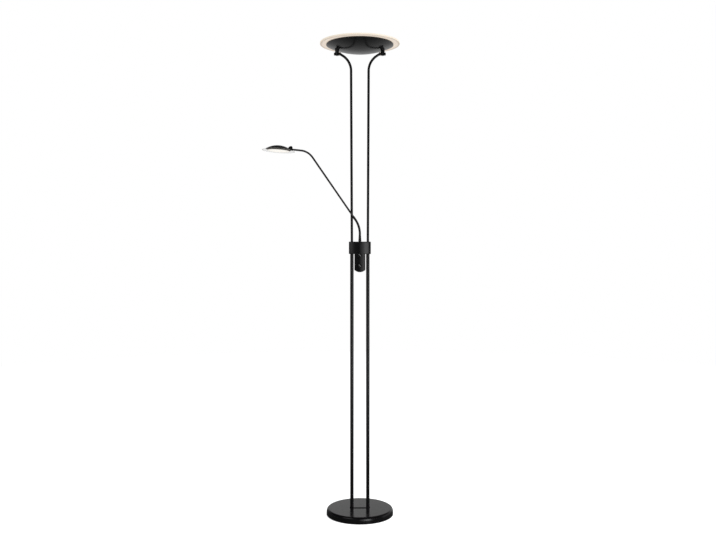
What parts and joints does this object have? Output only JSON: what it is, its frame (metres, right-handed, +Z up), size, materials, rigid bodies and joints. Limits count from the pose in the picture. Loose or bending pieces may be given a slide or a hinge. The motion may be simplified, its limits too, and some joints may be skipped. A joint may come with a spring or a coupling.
{
  "type": "torchiere floor lamp with reading light",
  "caption": "Floor lamp with a tilting glass-topped uplighter on twin poles and a reading light on a flexible swivelling arm with rotary dimmers.",
  "frame": {"origin": "on the floor, under the middle of the round base, midway between the poles", "axes": "+Z up along the poles; X runs through both poles, +X to the viewer's right; -Y towards the dimmer knobs"},
  "size_m": [0.5137, 0.3228, 1.8],
  "materials": {
    "black_paint": "satin black powder coat on steel",
    "black_paint_alloy": "satin black powder coat on cast aluminium",
    "black_metal": "satin black turned steel",
    "neck_metal": "satin black flexible steel neck",
    "black_screw": "black oxide screw",
    "black_plastic": "fine satin black moulding",
    "knob_plastic": "semi-gloss black moulding",
    "black_rubber": "matt black rubber",
    "cast_iron": "rough cast iron",
    "fibre_board": "brown fibre",
    "felt": "black felt",
    "zinc_steel": "zinc-plated steel",
    "aluminium": "bare aluminium",
    "circuit_board": "white solder mask",
    "white_plastic": "white moulding",
    "lead_sheath": "black lead sheath",
    "frosted_glass": "frosted glass lit warm white from inside"
  },
  "bodies": {
    "stand": {"base_cover": "black_paint", "base_weight": "cast_iron", "pad_board": "fibre_board", "floor_pad": "felt", "foot_plate": "black_paint", "foot_studs": "zinc_steel", "foot_nuts": "zinc_steel", "cord_bush": "black_rubber", "pole_lower_left": "black_paint", "pole_lower_right": "black_paint", "pole_upper_left": "black_paint", "pole_upper_right": "black_paint", "pole_couplers": "zinc_steel", "pole_end_eyes": "black_paint", "hinge_washers": "fibre_board", "housing_front": "black_plastic", "housing_rear": "black_plastic", "housing_screws": "black_screw", "dimmer_board": "circuit_board", "dimmer_pots": "zinc_steel", "pot_nuts": "zinc_steel", "terminal_block": "white_plastic", "uplight_lead": "lead_sheath", "swivel_bush": "white_plastic"},
    "uplighter": {"uplight_bowl": "black_paint", "hinge_posts": "black_metal", "post_nuts": "zinc_steel", "led_plate": "aluminium", "led_board": "circuit_board", "led_driver": "white_plastic", "plate_nuts": "zinc_steel", "uplight_glass": "frosted_glass", "glass_ring": "aluminium", "glass_ring_screws": "black_screw"},
    "clamp_left": {"clamp_knob_left": "black_metal"},
    "clamp_right": {"clamp_knob_right": "black_metal"},
    "dimmer_upper": {"dimmer_knob_upper": "knob_plastic", "dimmer_shaft_upper": "aluminium"},
    "dimmer_lower": {"dimmer_knob_lower": "knob_plastic", "dimmer_shaft_lower": "aluminium"},
    "arm_base": {"arm_collar": "black_metal", "swivel_stud": "zinc_steel", "swivel_washer": "zinc_steel", "swivel_nut": "zinc_steel"},
    "neck_1": {"neck_link_1": "neck_metal"},
    "neck_2": {"neck_link_2": "neck_metal"},
    "neck_3": {"neck_link_3": "neck_metal"},
    "neck_4": {"neck_link_4": "neck_metal"},
    "arm": {"neck_ferrule": "black_metal", "arm_tube": "black_paint", "reading_lead": "lead_sheath"},
    "knuckle": {"head_knuckle": "black_metal"},
    "reading_head": {"reading_shell": "black_paint_alloy", "reading_glass": "frosted_glass", "reading_glass_ring": "aluminium", "reading_led_board": "circuit_board", "reading_heat_sink": "aluminium"},
    "reading_clamp": {"reading_clamp_knob": "black_metal"}
  },
  "joints": [
    {"name": "uplight_tilt", "type": "hinge", "parent": "stand", "child": "uplighter", "pos_m": [0, 0, 1.75749], "axis": [1, 0, 0], "range_deg": [-75, 75]},
    {"name": "clamp_left_turn", "type": "hinge", "parent": "stand", "child": "clamp_left", "pos_m": [-0.0955, 0, 1.75749], "axis": [-1, 0, 0], "range_deg": [0, 180]},
    {"name": "clamp_right_turn", "type": "hinge", "parent": "stand", "child": "clamp_right", "pos_m": [0.0955, 0, 1.75749], "axis": [1, 0, 0], "range_deg": [0, 180]},
    {"name": "dimmer_upper_turn", "type": "hinge", "parent": "stand", "child": "dimmer_upper", "pos_m": [0, -0.0146, 0.989], "axis": [0, -1, 0], "range_deg": [0, 270]},
    {"name": "dimmer_lower_turn", "type": "hinge", "parent": "stand", "child": "dimmer_lower", "pos_m": [0, -0.0146, 0.949], "axis": [0, -1, 0], "range_deg": [0, 270]},
    {"name": "arm_swivel", "type": "hinge", "parent": "stand", "child": "arm_base", "pos_m": [0, 0, 1.0405], "axis": [0, 0, 1], "range_deg": [0, 140]},
    {"name": "neck_bend_1", "type": "hinge", "parent": "arm_base", "child": "neck_1", "pos_m": [0, 0, 1.065], "axis": [0.342, -0.9397, 0], "range_deg": [-7, 9]},
    {"name": "neck_bend_2", "type": "hinge", "parent": "neck_1", "child": "neck_2", "pos_m": [-0.00076, -0.00028, 1.08122], "axis": [0.342, -0.9397, 0], "range_deg": [-7, 9]},
    {"name": "neck_bend_3", "type": "hinge", "parent": "neck_2", "child": "neck_3", "pos_m": [-0.00407, -0.00148, 1.09706], "axis": [0.342, -0.9397, 0], "range_deg": [-7, 9]},
    {"name": "neck_bend_4", "type": "hinge", "parent": "neck_3", "child": "neck_4", "pos_m": [-0.00992, -0.00361, 1.11204], "axis": [0.342, -0.9397, 0], "range_deg": [-7, 9]},
    {"name": "neck_bend_5", "type": "hinge", "parent": "neck_4", "child": "arm", "pos_m": [-0.01812, -0.0066, 1.12573], "axis": [0.342, -0.9397, 0], "range_deg": [-7, 9]},
    {"name": "reading_head_roll", "type": "hinge", "parent": "arm", "child": "knuckle", "pos_m": [-0.24891, -0.0906, 1.38129], "axis": [-0.9379, -0.3414, 0.061], "range_deg": [-75, 75]},
    {"name": "reading_head_tilt", "type": "hinge", "parent": "knuckle", "child": "reading_head", "pos_m": [-0.2581, -0.09394, 1.38725], "axis": [-0.342, 0.9397, 0], "range_deg": [-2, 90]},
    {"name": "reading_clamp_turn", "type": "hinge", "parent": "reading_head", "child": "reading_clamp", "pos_m": [-0.2581, -0.09394, 1.38725], "axis": [0.342, -0.9397, 0], "range_deg": [0, 180]}
  ]
}
